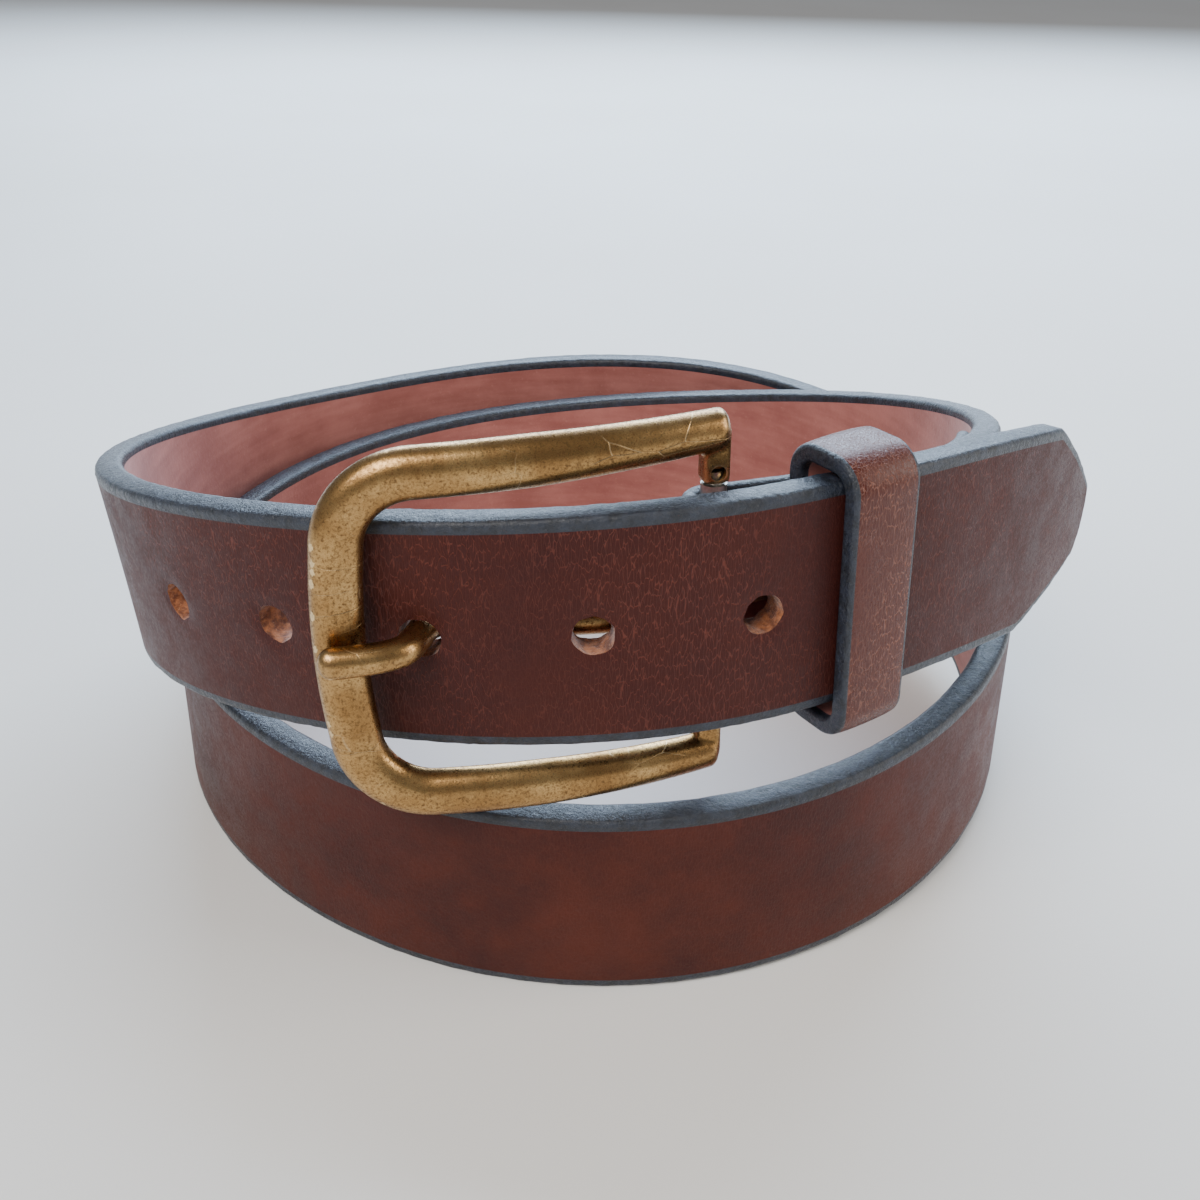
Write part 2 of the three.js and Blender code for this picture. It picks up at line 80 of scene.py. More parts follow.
STRAP_WIDTH = 38
STRAP_THICKNESS = 5
GAP = 0.3
PARED_THICKNESS = 2.4
PARED_HALF_WIDTH = 17.2
PARED_LENGTH = 30
FULL_LENGTH = 46
BAR_RADIUS = 2
LOOP_SPACE = 2 * (BAR_RADIUS + 0.35)
BEND_RADIUS = (LOOP_SPACE + PARED_THICKNESS) / 2
LOOP_LENGTH = 31
CLOSED_LENGTH = 42
FOLD_LENGTH = 76
FOLD_BACK = STRAP_THICKNESS / 2 + GAP + PARED_THICKNESS
SLOT_WIDTH = 6.6
SLOT_REACH = 11
TIP_TAPER = 31
TIP_NOSE = 4
TIP_NOSE_HALF_WIDTH = 8
SCREW_DISTANCES = (50.5, 67)


def smoothstep(value, low, high):
    t = np.clip((value - low) / (high - low), 0, 1)
    return t * t * (3 - 2 * t)


def unit(vectors):
    return vectors / np.linalg.norm(vectors, axis=-1, keepdims=True)


def station(values, angle):
    values = np.array(values, dtype=float)
    place = (np.asarray(angle, dtype=float) - FIRST_STATION) / STATION_STEP
    i = np.floor(place).astype(int)
    t = place - i
    s = 1 - t
    return (s**3 * values[i - 1] + (3 * t**3 - 6 * t**2 + 4) * values[i]
            + (3 * s**3 - 6 * s**2 + 4) * values[i + 1] + t**3 * values[i + 2]) / 6


def coil_points(angles):
    turn = np.radians(angles)
    radius = station(COIL_RADIUS, angles)
    spots = np.stack([radius * np.cos(turn), radius * np.sin(turn), station(COIL_HEIGHT, angles)], axis=-1)
    return spots - MIDDLE


def coil_sections(angles):
    """Centres of the strap and its directions along, across and out of the smooth face."""
    angles = np.atleast_1d(np.asarray(angles, dtype=float))
    centre = coil_points(angles)
    along = unit(coil_points(angles + 0.5) - coil_points(angles - 0.5))
    level = unit(np.stack([along[:, 1], -along[:, 0], np.zeros(len(angles))], axis=1))
    up = np.cross(level, along)
    lean = np.radians(station(COIL_LEAN, angles))[:, None]
    across = np.cos(lean) * up + np.sin(lean) * level
    out = np.cos(lean) * level - np.sin(lean) * up
    return centre, along, across, out


TABLE_ANGLES = np.arange(HEEL_ANGLE, TIP_ANGLE + 0.05, 0.1)
TABLE_LENGTHS = np.concatenate(
    [[0], np.cumsum(np.linalg.norm(np.diff(coil_points(TABLE_ANGLES), axis=0), axis=1))])
STRAP_LENGTH = TABLE_LENGTHS[-1]


def angle_at(length):
    return np.interp(length, TABLE_LENGTHS, TABLE_ANGLES)


def length_at(angle):
    return np.interp(angle, TABLE_ANGLES, TABLE_LENGTHS)


HOLE_LENGTHS = [float(length_at(FIRST_HOLE_ANGLE)) - i * HOLE_PITCH for i in range(HOLE_COUNT)]


def section_matrix(angle, shift_out=0.0):
    """A place on the strap: X along it, Y across it, Z out of its smooth face. Millimetres."""
    centre, along, across, out = (Vector(v[0]) for v in coil_sections(angle))
    side = across.cross(out)
    place = Matrix((side, across, out)).transposed().to_4x4()
    place.translation = centre + out * shift_out
    return place


HEEL_SHIFT = (STRAP_THICKNESS - PARED_THICKNESS) / 2 - BEND_RADIUS
HEEL = section_matrix(HEEL_ANGLE, HEEL_SHIFT)
FAR_BAR = Vector((-20.6, -76.1, 68.2))


def make_buckle_matrix():
    """The buckle's own frame: X from the heel bar to the far bar, Y down, Z to the front."""
    centre = HEEL.translation
    down = -HEEL.col[1].to_3d()
    away = FAR_BAR - Vector(MIDDLE) - centre
    away = (away - down * away.dot(down)).normalized()
    place = Matrix((away, down, away.cross(down))).transposed().to_4x4()
    place.translation = centre
    return place


BUCKLE = make_buckle_matrix()

# ---- making meshes ----


def mesh_piece(name, points, faces, materials, face_materials=None):
    """A smooth-shaded object from points in millimetres."""
    mesh = bpy.data.meshes.new(name)
    mesh.from_pydata((np.asarray(points) * MM).tolist(), [], faces)
    for material in materials:
        mesh.materials.append(material)
    if face_materials is not None:
        mesh.polygons.foreach_set("material_index", face_materials)
    mesh.polygons.foreach_set("use_smooth", [True] * len(mesh.polygons))
    piece = bpy.data.objects.new(name, mesh)
    bpy.context.scene.collection.objects.link(piece)
    return piece


def loft_faces(rings, size, closed_path=False):
    faces = []
    count = rings if closed_path else rings - 1
    for i in range(count):
        k = (i + 1) % rings
        for j in range(size):
            n = (j + 1) % size
            faces.append((i * size + j, i * size + n, k * size + n, k * size + j))
    if not closed_path:
        faces.append(tuple(range(size))[::-1])
        faces.append(tuple(range((rings - 1) * size, rings * size)))
    return faces


def apply_modifiers(piece):
    bpy.context.view_layer.update()
    graph = bpy.context.evaluated_depsgraph_get()
    mesh = bpy.data.meshes.new_from_object(piece.evaluated_get(graph))
    piece.modifiers.clear()
    old = piece.data
    piece.data = mesh
    bpy.data.meshes.remove(old)


def cut(piece, cutters):
    """Takes closed pieces away from a piece, which gets their material on the cut walls."""
    for cutter in cutters:
        modifier = piece.modifiers.new("cut", "BOOLEAN")
        modifier.operation = "DIFFERENCE"
        modifier.solver = "EXACT"
        modifier.object = cutter
        modifier.material_mode = "TRANSFER"
    apply_modifiers(piece)
    for cutter in cutters:
        mesh = cutter.data
        bpy.data.objects.remove(cutter)
        bpy.data.meshes.remove(mesh)


def sharpen(piece, degrees):
    """Marks the edges that turn by more than an angle, so that shading breaks there."""
    shape = bmesh.new()
    shape.from_mesh(piece.data)
    for edge in shape.edges:
        edge.smooth = not edge.is_manifold or edge.calc_face_angle(0) < math.radians(degrees)
    shape.to_mesh(piece.data)
    shape.free()
    piece.data.polygons.foreach_set("use_smooth", [True] * len(piece.data.polygons))


# ---- materials ----


class Look:
    """A material under construction, with short ways to add the nodes that this scene uses."""

    def __init__(self, name, **settings):
        self.material = bpy.data.materials.new(name)
        self.material.use_nodes = True
        self.tree = self.material.node_tree
        self.shader = self.tree.nodes["Principled BSDF"]
        for socket, value in settings.items():
            self.shader.inputs[socket.replace("_", " ")].default_value = value
        coordinates = self.tree.nodes.new("ShaderNodeTexCoord")
        self.object_space = coordinates.outputs["Object"]

    def put(self, socket, value):
        if isinstance(value, bpy.types.NodeSocket):
            self.tree.links.new(value, socket)
        else:
            socket.default_value = value

    def node(self, kind, *inputs, **settings):
        made = self.tree.nodes.new(kind)
        for key, value in settings.items():
            setattr(made, key, value)
        for key, value in inputs:
            self.put(made.inputs[key], value)
        return made

    def stretched(self, scale, vector=None):
        """Object coordinates times a scale for each axis, in features per metre."""
        source = self.object_space if vector is None else vector
        return self.node("ShaderNodeMapping", ("Vector", source), ("Scale", scale)).outputs["Vector"]

    def grain(self, vector, scale, detail=3.0, roughness=0.55, distortion=0.0):
        made = self.node("ShaderNodeTexNoise", ("Vector", vector), ("Scale", scale), ("Detail", detail),
                         ("Roughness", roughness), ("Distortion", distortion))
        return made.outputs["Fac"]

    def cells(self, vector, scale, feature="DISTANCE_TO_EDGE"):
        made = self.node("ShaderNodeTexVoronoi", ("Vector", vector), ("Scale", scale), feature=feature)
        return made.outputs["Distance"]

    def warped(self, vector, scale, amount):
        """A vector pushed about by noise, so that lines laid on it wander."""
        made = self.node("ShaderNodeTexNoise", ("Vector", vector), ("Scale", scale), ("Detail", 2.0))
        centred = self.node("ShaderNodeVectorMath", (0, made.outputs["Color"]), (1, (0.5, 0.5, 0.5)),
                            operation="SUBTRACT")
        scaled = self.node("ShaderNodeVectorMath", (0, centred.outputs[0]), ("Scale", amount),
                           operation="SCALE")
        moved = self.node("ShaderNodeVectorMath", (0, vector), (1, scaled.outputs[0]), operation="ADD")
        return moved.outputs[0]

    def span(self, value, low, high, start=0.0, end=1.0):
        """Takes low..high to start..end, smoothly and held at the ends."""
        made = self.node("ShaderNodeMapRange", ("Value", value), ("From Min", low), ("From Max", high),
                         ("To Min", start), ("To Max", end), interpolation_type="SMOOTHSTEP")
        return made.outputs["Result"]

    def maths(self, operation, first, second=0.0):
        return self.node("ShaderNodeMath", (0, first), (1, second), operation=operation).outputs[0]

    def blend(self, factor, first, second):
        made = self.node("ShaderNodeMix", ("Factor", factor), data_type="RGBA")
        self.put(made.inputs[6], first)
        self.put(made.inputs[7], second)
        return made.outputs[2]

    def mixed(self, first, share, second):
        """A weighted sum of two patterns, whose weights add up to one."""
        return self.maths("ADD", self.maths("MULTIPLY", first, share),
                          self.maths("MULTIPLY", second, 1 - share))

    def relief(self, height, depth, before=None):
        """A bump of a depth in millimetres, on top of an earlier one."""
        made = self.node("ShaderNodeBump", ("Height", height), ("Distance", depth * MM), ("Strength", 1.0))
        if before is not None:
            self.put(made.inputs["Normal"], before)
        return made.outputs["Normal"]

    def finish(self, color, roughness=None, normal=None):
        self.put(self.shader.inputs["Base Color"], color)
        if roughness is not None:
            self.put(self.shader.inputs["Roughness"], roughness)
        if normal is not None:
            self.put(self.shader.inputs["Normal"], normal)
        return self.material


def rgb(red, green, blue):
    return (red, green, blue, 1.0)


def grain_leather(name, dark, light, crease, crease_amount, gloss, shine):
    """The smooth face of the hide: mottled dye, pores, and fine creases across the strap."""
    look = Look(name, Specular_IOR_Level=shine)
    spots = look.object_space
    dye = look.grain(spots, 38, 5, 0.6)
    cloud = look.grain(spots, 160, 4, 0.6)
    tone = look.span(look.mixed(dye, 0.7, cloud), 0.22, 0.78)
    base = look.blend(tone, dark, light)
    height = look.node("ShaderNodeSeparateXYZ", ("Vector", spots)).outputs["Z"]
    base = look.blend(look.span(height, 0.03, 0.065, 0.0, 0.55), base, dark)

    upright = look.warped(look.stretched((1900, 1900, 430)), 0.8, 0.7)
    net = look.warped(look.stretched((1900, 1900, 1000)), 0.8, 0.8)
    patches = look.span(look.grain(look.stretched((30, 30, 16)), 1.0, 3), 0.30, 0.58)
    where = look.maths("MULTIPLY", patches, look.span(height, 0.03, 0.075, 0.25, 1.0))
    lines = look.maths("MULTIPLY", look.span(look.cells(upright, 1.0), 0.0, 0.075, 1.0, 0.0), where)
    fine = look.maths("MULTIPLY", look.span(look.cells(net, 1.0), 0.0, 0.10, 1.0, 0.0), 0.14)
    creases = look.maths("MAXIMUM", lines, fine)
    pores = look.grain(spots, 1500, 3, 0.6)

    color = look.blend(look.maths("MULTIPLY", creases, crease_amount), base, crease)
    color = look.blend(look.span(pores, 0.62, 0.8, 0.0, 0.35), color, dark)
    normal = look.relief(look.grain(spots, 420, 4, 0.6), 0.05)
    normal = look.relief(look.maths("SUBTRACT", 1.0, creases), 0.06, normal)
    normal = look.relief(pores, 0.045, normal)
    roughness = look.span(look.mixed(cloud, 0.5, pores), 0.35, 0.65, gloss, gloss + 0.17)
    return look.finish(color, roughness, normal)


def flesh_leather():
    """The strap's inside: the same hide's other face, dyed, matt and slightly felted."""
    look = Look("leather_inside", Specular_IOR_Level=0.25, Sheen_Weight=0.25, Sheen_Roughness=0.5)
    spots = look.object_space
    cloud = look.grain(spots, 55, 5, 0.65)
    streak = look.grain(look.stretched((60, 60, 420)), 1.0, 3)
    nap = look.grain(spots, 1100, 4, 0.7)
    tone = look.span(look.mixed(cloud, 0.6, streak), 0.33, 0.68)
    color = look.blend(tone, rgb(0.28, 0.088, 0.072), rgb(0.42, 0.155, 0.13))
    color = look.blend(look.span(nap, 0.55, 0.75, 0.0, 0.4), color, rgb(0.50, 0.22, 0.18))
    normal = look.relief(look.grain(spots, 300, 3), 0.07)
    normal = look.relief(nap, 0.08, normal)
    return look.finish(color, look.span(nap, 0.3, 0.7, 0.68, 0.86), normal)


def edge_paint():
    """Black paint over the cut edge: its fibres show through as a rough, glinting surface."""
    look = Look("edge_paint", Specular_IOR_Level=0.5, Coat_Weight=0.1, Coat_Roughness=0.25)
    spots = look.object_space
    coarse = look.grain(spots, 520, 4, 0.65)
    fibres = look.grain(spots, 1700, 4, 0.7, 0.4)
    bare = look.span(look.grain(spots, 900, 5, 0.75), 0.66, 0.78)
    color = look.blend(look.span(coarse, 0.3, 0.7), rgb(0.008, 0.010, 0.015), rgb(0.020, 0.026, 0.042))
    color = look.blend(bare, color, rgb(0.075, 0.028, 0.018))
    normal = look.relief(coarse, 0.34)
    normal = look.relief(fibres, 0.26, normal)
    return look.finish(color, look.span(fibres, 0.3, 0.7, 0.28, 0.55), normal)


def raw_leather():
    """The undyed fibres on the wall of a punched hole."""
    look = Look("leather_raw", Specular_IOR_Level=0.2, Sheen_Weight=0.3)
    spots = look.object_space
    clumps = look.grain(spots, 700, 4, 0.7)
    threads = look.grain(spots, 2600, 4, 0.7)
    color = look.blend(look.span(clumps, 0.35, 0.65), rgb(0.10, 0.028, 0.012), rgb(0.36, 0.13, 0.050))
    color = look.blend(look.span(threads, 0.6, 0.75, 0.0, 0.6), color, rgb(0.75, 0.45, 0.25))
    normal = look.relief(clumps, 0.25)
    normal = look.relief(threads, 0.12, normal)
    return look.finish(color, look.span(threads, 0.3, 0.7, 0.8, 0.95), normal)


def antique_brass():
    """Cast brass, browned and speckled, with painted highlights on its sharp edges."""
    look = Look("antique_brass", Metallic=1.0)
    spots = look.object_space
    cloud = look.grain(spots, 95, 5, 0.65)
    speckle = look.grain(spots, 2100, 5, 0.75)
    pits = look.grain(spots, 2600, 3, 0.6)
    geometry = look.node("ShaderNodeNewGeometry")
    # Painted highlight: sharp convex edges, found by pointiness, are lightened towards pale bright brass.
    edge_highlight = look.span(geometry.outputs["Pointiness"], 0.505, 0.56)
    bright = look.blend(look.span(cloud, 0.35, 0.7), rgb(0.30, 0.165, 0.060), rgb(0.50, 0.31, 0.125))
    color = look.blend(look.span(speckle, 0.47, 0.66, 0.0, 0.85), bright, rgb(0.12, 0.062, 0.026))
    color = look.blend(look.maths("MULTIPLY", edge_highlight, 0.7), color, rgb(0.86, 0.64, 0.34))
    scratch_lines = look.cells(look.warped(look.stretched((90, 30, 260)), 0.5, 0.5), 1.0)
    scratches = look.maths("MULTIPLY", look.span(scratch_lines, 0.0, 0.012, 1.0, 0.0),
                           look.span(look.grain(spots, 60, 2), 0.52, 0.62))
    color = look.blend(look.maths("MULTIPLY", scratches, 0.3), color, rgb(0.85, 0.68, 0.42))
    normal = look.relief(cloud, 0.12)
    normal = look.relief(pits, 0.02, normal)
    normal = look.relief(look.maths("SUBTRACT", 1.0, scratches), 0.03, normal)
    roughness = look.span(speckle, 0.35, 0.7, 0.24, 0.46)
    return look.finish(color, roughness, normal)


def steel():
    look = Look("dull_steel", Metallic=1.0)
    spots = look.object_space
    brushed = look.grain(look.stretched((3000, 3000, 300)), 1.0, 3)
    cloud = look.grain(spots, 300, 4, 0.6)
    color = look.blend(look.span(cloud, 0.35, 0.65), rgb(0.30, 0.28, 0.25), rgb(0.50, 0.48, 0.44))
    return look.finish(color, look.span(cloud, 0.3, 0.7, 0.3, 0.5), look.relief(brushed, 0.01))


STRAP_FACE = grain_leather("strap_leather", rgb(0.034, 0.0075, 0.0070), rgb(0.092, 0.0205, 0.0125),
                           rgb(0.21, 0.060, 0.042), 0.48, 0.38, 0.16)
KEEPER_FACE = grain_leather("keeper_leather", rgb(0.062, 0.0125, 0.008), rgb(0.115, 0.024, 0.013),
                            rgb(0.46, 0.20, 0.13), 0.5, 0.24, 0.28)
INSIDE = flesh_leather()
EDGE = edge_paint()
RAW = raw_leather()
BRASS = antique_brass()
STEEL = steel()

# ---- the strap ----

EDGE_ROUND = 1.05
EDGE_FIBRE = 0.07
EDGE_WAVE = 0.10
ROW_STEP = 1.9
FINE_ROW_STEP = 0.75
FINE_REACH = 6
TIP_ROWS = 40
RIM_SINK = 0.34
RIM_SINK_RADIUS = 2.6
RIM_SINK_SPREAD = 1.5
POST_RADIUS = 2.4
POST_HEAD_RADIUS = 5
POST_HEAD = 1


def heel_end(lengths):
    """The strap near the buckle, pared from its rough side: its smooth face stays on the coil's line."""
    centre, _, across, out = coil_sections(angle_at(lengths))
    full = smoothstep(lengths, PARED_LENGTH, FULL_LENGTH)
    thickness = PARED_THICKNESS + (STRAP_THICKNESS - PARED_THICKNESS) * full
    half_width = PARED_HALF_WIDTH + (STRAP_WIDTH / 2 - PARED_HALF_WIDTH) * full
    centre = centre + out * ((STRAP_THICKNESS - thickness) / 2)[:, None]
    return centre, across, out, thickness, half_width


def tip_half_width(from_end):
    nose = np.sqrt(np.maximum(1 - (1 - np.minimum(from_end / TIP_NOSE, 1)) ** 2, 0))
    bevel = np.maximum(from_end - TIP_NOSE, 0) / (TIP_TAPER - TIP_NOSE)
    return TIP_NOSE_HALF_WIDTH * np.maximum(nose, 0.12) + (STRAP_WIDTH / 2 - TIP_NOSE_HALF_WIDTH) * bevel


def run_lengths():
    """Places of the strap's rings from the heel to the tip, closer together at the holes."""
    places = [1.0]
    while places[-1] < STRAP_LENGTH - TIP_TAPER - 1:
        near = min(abs(places[-1] - hole) for hole in HOLE_LENGTHS)
        places.append(places[-1] + (FINE_ROW_STEP if near < FINE_REACH else ROW_STEP))
    taper = TIP_TAPER * (1 - np.sin(np.arange(1, TIP_ROWS + 1) / TIP_ROWS * np.pi / 2))
    return np.concatenate([places, STRAP_LENGTH - taper])


def strap_sections():
    """The rows of the strap from the end of its fold, round the heel bar, to its tip."""
    back = np.arange(FOLD_LENGTH, 0.5, -ROW_STEP)
    centre, across, out, thickness, _ = heel_end(back)
    space = LOOP_SPACE + (GAP - LOOP_SPACE) * smoothstep(back, LOOP_LENGTH, CLOSED_LENGTH)
    back_centre = centre - out * ((thickness + PARED_THICKNESS) / 2 + space)[:, None]
    heel_centre, heel_along, heel_across, heel_out = coil_sections(HEEL_ANGLE)
    bend = np.radians(np.arange(180, -1, -9.0))[:, None]
    bend_out = heel_out * np.cos(bend) - heel_along * np.sin(bend)
    bend_centre = heel_centre + heel_out * HEEL_SHIFT + bend_out * BEND_RADIUS
    run = run_lengths()
    run_centre, run_across, run_out, run_thickness, half_width = heel_end(run)
    ending = run > STRAP_LENGTH - TIP_TAPER
    half_width[ending] = tip_half_width(STRAP_LENGTH - run[ending])
    bend_length = BEND_RADIUS * (math.pi - bend[:, 0])
    count = len(bend)
    pared = np.ones(len(back) + count)
    return {
        "centre": np.concatenate([back_centre, bend_centre, run_centre]),
        "across": np.concatenate([across, np.repeat(heel_across, count, axis=0), run_across]),
        "out": np.concatenate([-out, bend_out, run_out]),
        "half_width": np.concatenate([pared * PARED_HALF_WIDTH, half_width]),
        "thickness": np.concatenate([pared * PARED_THICKNESS, run_thickness]),
        "length": np.concatenate([-back - math.pi * BEND_RADIUS, bend_length - math.pi * BEND_RADIUS, run]),
    }


def strap_outline():
    """Points round the strap's section: a fraction of its flat's half width, how far out the point is
    across and out of the strap in corner radii, and what the surface there is."""
    near = np.array([0, 0.05, 0.1, 0.15, 0.2, 0.25, 0.3, 0.36, 0.44, 0.54, 0.66, 0.78, 0.88, 0.95])
    across = np.concatenate([-near[:0:-1], near])

    def corner(side, start):
        turns = [start + math.pi / 2 * i / 5 for i in range(6)]
        return [(side, math.cos(turn), math.sin(turn), "edge") for turn in turns]

    outline = [(fraction, 0, 1, "face") for fraction in across[::-1]]
    outline += corner(-1, math.pi / 2) + corner(-1, math.pi)
    outline += [(fraction, 0, -1, "inside") for fraction in across]
    outline += corner(1, 1.5 * math.pi) + corner(1, 0)
    return outline


def hollows(length, across):
    """How far the smooth face sinks round a punched hole, in millimetres."""
    depth = np.zeros_like(length)
    for hole in HOLE_LENGTHS:
        reach = np.hypot(length - hole, across)
        depth += RIM_SINK * np.exp(-(((reach - RIM_SINK_RADIUS) / RIM_SINK_SPREAD) ** 2))
    return depth


def make_strap():
    rows = strap_sections()
    outline = strap_outline()
    size = len(outline)
    corner = np.minimum(EDGE_ROUND, rows["half_width"] / 2)
    points = []
    for fraction, corner_across, corner_out, kind in outline:
        flat = rows["half_width"] - corner
        a = fraction * flat + corner * corner_across
        b = np.sign(corner_out) * (rows["thickness"] / 2 - corner) + corner * corner_out
        if kind == "face":
            b = b - hollows(rows["length"], a)
        spots = rows["centre"] + rows["across"] * a[:, None] + rows["out"] * b[:, None]
        points.append(spots)
    points = np.stack(points, axis=1)
    for i, (fraction, corner_across, corner_out, kind) in enumerate(outline):
        if kind == "edge":
            outward = rows["across"] * corner_across + rows["out"] * corner_out
            for k in range(len(points)):
                spot = Vector(points[k, i])
                rough = EDGE_FIBRE * noise.noise(spot * 1.1) + EDGE_WAVE * noise.noise(spot * 0.35)
                points[k, i] += outward[k] * rough
    points[..., 2] = np.maximum(points[..., 2], 0)
    rings = len(points)
    index = {"face": 0, "inside": 1, "edge": 2}
    kinds = []
    for j in range(size):
        one, other = outline[j][3], outline[(j + 1) % size][3]
        kinds.append(index[one] if one == other else 2)
    faces = loft_faces(rings, size)
    face_materials = kinds * (rings - 1) + [2, 2]
    return mesh_piece("strap_leather", points.reshape(-1, 3), faces, [STRAP_FACE, INSIDE, EDGE, RAW],
                      face_materials)


def rod_piece(name, place, radius, low, high, material, flare=0.0, wobble=0.0, sides=56):
    """A closed rod along a place's Z, in millimetres, with a slightly uneven wall."""
    levels = np.linspace(low, high, 9)
    points = []
    for level in levels:
        for j in range(sides):
            turn = 2 * math.pi * j / sides
            spot = Vector((math.cos(turn) * 1.7, math.sin(turn) * 1.7, level * 0.6))
            reach = radius + wobble * noise.noise(spot * 1.3 + place.translation)
            reach += flare * max(0.0, (level - (high + low) / 2) / (high - low) * 2) ** 2
            points.append(place @ Vector((reach * math.cos(turn), reach * math.sin(turn), level)))
    return mesh_piece(name, points, loft_faces(len(levels), sides), [material])


def slot_piece():
    half = SLOT_WIDTH / 2
    outline = [(-9.0, -half), (SLOT_REACH, -half)]
    for i in range(1, 12):
        turn = -math.pi / 2 + math.pi * i / 12
        outline.append((SLOT_REACH + half * math.cos(turn), half * math.sin(turn)))
    outline += [(SLOT_REACH, half), (-9.0, half)]
    reach = BEND_RADIUS + PARED_THICKNESS / 2 + 0.3
    points = [HEEL @ Vector((x, y, z)) for z in (-reach, reach) for x, y in outline]
    return mesh_piece("slot", points, loft_faces(2, len(outline)), [RAW])


# ---- the prong ----

PRONG_RADIUS = 2.3
PRONG_TIP_ROUND = 2.1
CASTING_SMOOTHING = 6
PRONG_EYE = (2.35, 4.3, 5.0)
PRONG_LINE = ((3, 1.2), (12, 2.6), (22, 1.6), (32, -1.4), (39.5, -3.9), (43.2, -2.6), (45.4, 0.8),
              (47.6, 4.1), (51, 5.3), (55.5, 5.45), (60.2, 5.2))


def smooth_line(knots, count):
    """A centripetal Catmull-Rom curve through the knots, evenly spaced, and its directions."""
    knots = np.array(knots, dtype=float)
    knots = np.vstack([2 * knots[0] - knots[1], knots, 2 * knots[-1] - knots[-2]])
    fine = []
    for k in range(1, len(knots) - 2):
        p = knots[k - 1:k + 3]
        t = np.concatenate([[0], np.cumsum(np.linalg.norm(np.diff(p, axis=0), axis=1) ** 0.5)])
        for s in np.linspace(t[1], t[2], 24, endpoint=False):
            a = [p[i] + (p[i + 1] - p[i]) * (s - t[i]) / (t[i + 1] - t[i]) for i in range(3)]
            b = [a[i] + (a[i + 1] - a[i]) * (s - t[i]) / (t[i + 2] - t[i]) for i in range(2)]
            fine.append(b[0] + (b[1] - b[0]) * (s - t[1]) / (t[2] - t[1]))
    fine = np.array(fine + [knots[-2]])
    run = np.concatenate([[0], np.cumsum(np.linalg.norm(np.diff(fine, axis=0), axis=1))])
    even = np.linspace(0, run[-1], count)
    line = np.stack([np.interp(even, run, fine[:, i]) for i in range(fine.shape[1])], axis=1)
    return line, unit(np.gradient(line, axis=0)), run[-1]


def prong_rod(name, grow, material, count=150, sides=28):
    line, ahead, total = smooth_line(PRONG_LINE, count)
    points = []
    for i in range(count):
        from_tip = total * (1 - i / (count - 1))
        round_off = math.sqrt(1 - max(1 - from_tip / PRONG_TIP_ROUND, 0) ** 2)
        flat = max(0.0, 1 - from_tip / 11)
        wide = (PRONG_RADIUS * (1 + 0.10 * flat)) * max(round_off, 0.12) + grow
        deep = (PRONG_RADIUS * (1 - 0.12 * flat)) * max(round_off, 0.12) + grow
        front = Vector((-ahead[i][1], 0, ahead[i][0]))
        for j in range(sides):
            turn = 2 * math.pi * j / sides
            spot = Vector((line[i][0], wide * math.cos(turn), line[i][1]))
            points.append(spot + front * deep * math.sin(turn))
    return mesh_piece(name, [BUCKLE @ p for p in points], loft_faces(count, sides), [material])


def prong_clearance(degrees):
    swing = BUCKLE @ Matrix.Rotation(-math.radians(degrees), 4, "Y") @ BUCKLE.inverted()
    cutter = prong_rod("clearance", 0.3, RAW, 60, 20)
    swing.translation = swing.translation * MM
    cutter.data.transform(swing)
    return cutter


def ring_piece(name, inner, outer, width, material, sides=56):
    """A ring round the heel bar with rounded rims."""
    half = width / 2
    r = 0.7
    profile = [(inner, -half + 0.3), (inner + 0.3, -half)]
    quarter = np.linspace(0, math.pi / 2, 6)
    profile += [(outer - r + r * math.sin(t), -half + r - r * math.cos(t)) for t in quarter]
    profile += [(outer - r + r * math.cos(t), half - r + r * math.sin(t)) for t in quarter]
    profile += [(inner + 0.3, half), (inner, half - 0.3)]
    points = []
    for i in range(sides):
        turn = 2 * math.pi * i / sides
        for radius, y in profile:
            points.append(BUCKLE @ Vector((radius * math.sin(turn), y, radius * math.cos(turn))))
    return mesh_piece(name, points, loft_faces(sides, len(profile), closed_path=True), [material])


def join(name, pieces):
    shape = bmesh.new()
    for piece in pieces:
        shape.from_mesh(piece.data)
    mesh = bpy.data.meshes.new(name)
    shape.to_mesh(mesh)
    shape.free()
    mesh.materials.append(pieces[0].data.materials[0])
    joined = bpy.data.objects.new(name, mesh)
    bpy.context.scene.collection.objects.link(joined)
    for piece in pieces:
        bpy.data.objects.remove(piece)
    return joined


def fuse(piece, grid, smoothing):
    """Melts overlapping parts of a casting into one skin with soft inner corners."""
    remesh = piece.modifiers.new("remesh", "REMESH")
    remesh.mode = "VOXEL"
    remesh.voxel_size = grid * MM
    remesh.use_smooth_shade = True
    smooth = piece.modifiers.new("smooth", "CORRECTIVE_SMOOTH")
    smooth.iterations = smoothing
    smooth.use_only_smooth = True
    apply_modifiers(piece)
    piece.data.polygons.foreach_set("use_smooth", [True] * len(piece.data.polygons))


def make_prong():
    rod = prong_rod("prong_rod", 0.0, BRASS)
    across = BUCKLE @ Matrix.Rotation(math.pi / 2, 4, "X")
    bore = rod_piece("prong_bore", across, PRONG_EYE[0] + 0.4, -8, 8, BRASS)
    cut(rod, [bore])
    prong = join("prong_brass", [rod, ring_piece("prong_eye", *PRONG_EYE, BRASS)])
    fuse(prong, 0.3, CASTING_SMOOTHING)
    return prong


# ---- the buckle's frame ----

